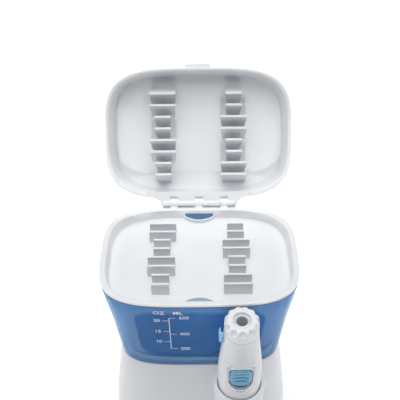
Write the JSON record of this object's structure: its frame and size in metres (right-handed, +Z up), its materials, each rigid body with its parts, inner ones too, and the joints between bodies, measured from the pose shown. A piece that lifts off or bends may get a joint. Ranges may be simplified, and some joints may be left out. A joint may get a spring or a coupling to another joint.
{
  "type": "countertop water flosser",
  "caption": "Countertop oral irrigator: flared base with pump, clear tank, rib-lined tip tray, hinged domed lid, and a handle with rotation collar in its holster.",
  "frame": {"origin": "on the resting surface, under the middle of the whole object's box with the lid open", "axes": "+Z up, -Y towards the user and the holster, +X to the user's right"},
  "size_m": [0.1416, 0.2014, 0.2932],
  "materials": {
    "white_plastic": "glossy white moulded plastic",
    "blue_tank": "clear transparent blue plastic, polished",
    "light_blue": "glossy light blue moulded plastic",
    "grey_plastic": "matte grey moulded plastic",
    "dark_rubber": "matt black rubber",
    "steel": "bright plated steel",
    "acetal": "matt cream acetal",
    "circuit_green": "green laminate",
    "clear_tube": "soft clear silicone",
    "lens_green": "clear green lens"
  },
  "bodies": {
    "base": {"base_shell": "white_plastic", "bottom_cover": "white_plastic", "cover_screw_1": "steel", "cover_screw_2": "steel", "cover_screw_3": "steel", "cover_screw_4": "steel", "foot_front_left": "dark_rubber", "foot_front_right": "dark_rubber", "foot_back_left": "dark_rubber", "foot_back_right": "dark_rubber", "pressure_valve_body": "acetal", "power_switch": "dark_rubber", "control_board": "circuit_green", "status_lens": "lens_green", "power_supply": "dark_rubber", "mains_gland": "dark_rubber", "hose_outlet": "light_blue", "pump_frame": "grey_plastic", "motor": "steel", "gear_axle": "steel", "pump_body": "acetal", "valve_head": "acetal", "check_ball": "steel", "inlet_socket": "grey_plastic", "inlet_seal": "dark_rubber", "inlet_tube": "clear_tube", "outlet_tube": "clear_tube"},
    "dial": {"pressure_dial": "light_blue", "valve_stem": "acetal"},
    "power_key": {"power_button": "light_blue"},
    "pinion": {"motor_pinion": "acetal", "motor_shaft": "steel"},
    "gear": {"drive_gear": "acetal"},
    "rod": {"connecting_rod": "acetal"},
    "plunger": {"piston": "acetal", "wrist_pin": "steel", "piston_seal": "dark_rubber"},
    "tank": {"tank_shell": "blue_tank", "tank_valve_body": "grey_plastic"},
    "poppet": {"valve_poppet": "acetal", "poppet_seal": "dark_rubber"},
    "tray": {"tip_tray": "white_plastic", "hinge_pin": "steel"},
    "lid": {"lid_shell": "white_plastic"},
    "handle": {"handle_front_shell": "white_plastic", "handle_back_shell": "white_plastic", "nozzle_socket": "white_plastic", "nozzle_seal": "dark_rubber", "shut_off_valve": "grey_plastic", "upper_water_tube": "clear_tube", "lower_water_tube": "clear_tube", "hose_nipple": "light_blue"},
    "collar": {"rotation_collar": "white_plastic"},
    "eject_key": {"eject_button": "light_blue"},
    "slider": {"slide_switch": "light_blue"}
  },
  "joints": [
    {"name": "tank_lift", "type": "slide", "parent": "base", "child": "tank", "axis": [0, 0, 1], "range_m": [0, 0.08]},
    {"name": "tray_lift", "type": "slide", "parent": "tank", "child": "tray", "axis": [0, 0, 1], "range_m": [0, 0.05]},
    {"name": "lid_swing", "type": "hinge", "parent": "tray", "child": "lid", "pos_m": [0, 0.03209, 0.20325], "axis": [1, 0, 0], "range_deg": [0, 122.2]},
    {"name": "handle_lift", "type": "slide", "parent": "base", "child": "handle", "axis": [0, -0.061, 0.9981], "range_m": [0, 0.12]},
    {"name": "collar_turn", "type": "hinge", "parent": "handle", "child": "collar", "pos_m": [0.0279, -0.08701, 0.2062], "axis": [0, -0.061, 0.9981], "continuous": true},
    {"name": "eject_press", "type": "slide", "parent": "handle", "child": "eject_key", "axis": [1, 0, 0], "range_m": [0, 0.0012], "stiffness_N_per_m": 600, "springref_m": -0.0008},
    {"name": "switch_slide", "type": "slide", "parent": "handle", "child": "slider", "axis": [0, 0.061, -0.9981], "range_m": [0, 0.003]},
    {"name": "power_press", "type": "slide", "parent": "base", "child": "power_key", "axis": [0, 1, 0], "range_m": [0, 0.0015], "stiffness_N_per_m": 500, "springref_m": -0.001},
    {"name": "dial_turn", "type": "hinge", "parent": "base", "child": "dial", "pos_m": [-0.01, -0.06131, 0.046], "axis": [0, -1, 0], "range_deg": [0, 300]},
    {"name": "gear_turn", "type": "hinge", "parent": "base", "child": "gear", "pos_m": [-0.017, -0.02131, 0.038], "axis": [0, 1, 0], "continuous": true},
    {"name": "pinion_turn", "type": "hinge", "parent": "base", "child": "pinion", "pos_m": [-0.038, -0.02131, 0.038], "axis": [0, 1, 0], "continuous": true},
    {"name": "rod_turn", "type": "hinge", "parent": "gear", "child": "rod", "pos_m": [-0.0153, -0.02131, 0.038], "axis": [0, 1, 0], "continuous": true},
    {"name": "piston_stroke", "type": "slide", "parent": "base", "child": "plunger", "axis": [0, 0, 1], "range_m": [-0.0017, 0.0017]},
    {"name": "valve_lift", "type": "slide", "parent": "tank", "child": "poppet", "axis": [0, 0, 1], "range_m": [0, 0.002], "stiffness_N_per_m": 120, "springref_m": -0.001}
  ],
  "couplings": [
    {"joint": "pinion_turn", "follows": "gear_turn", "ratio": -3},
    {"joint": "rod_turn", "follows": "gear_turn", "ratio": -1}
  ]
}
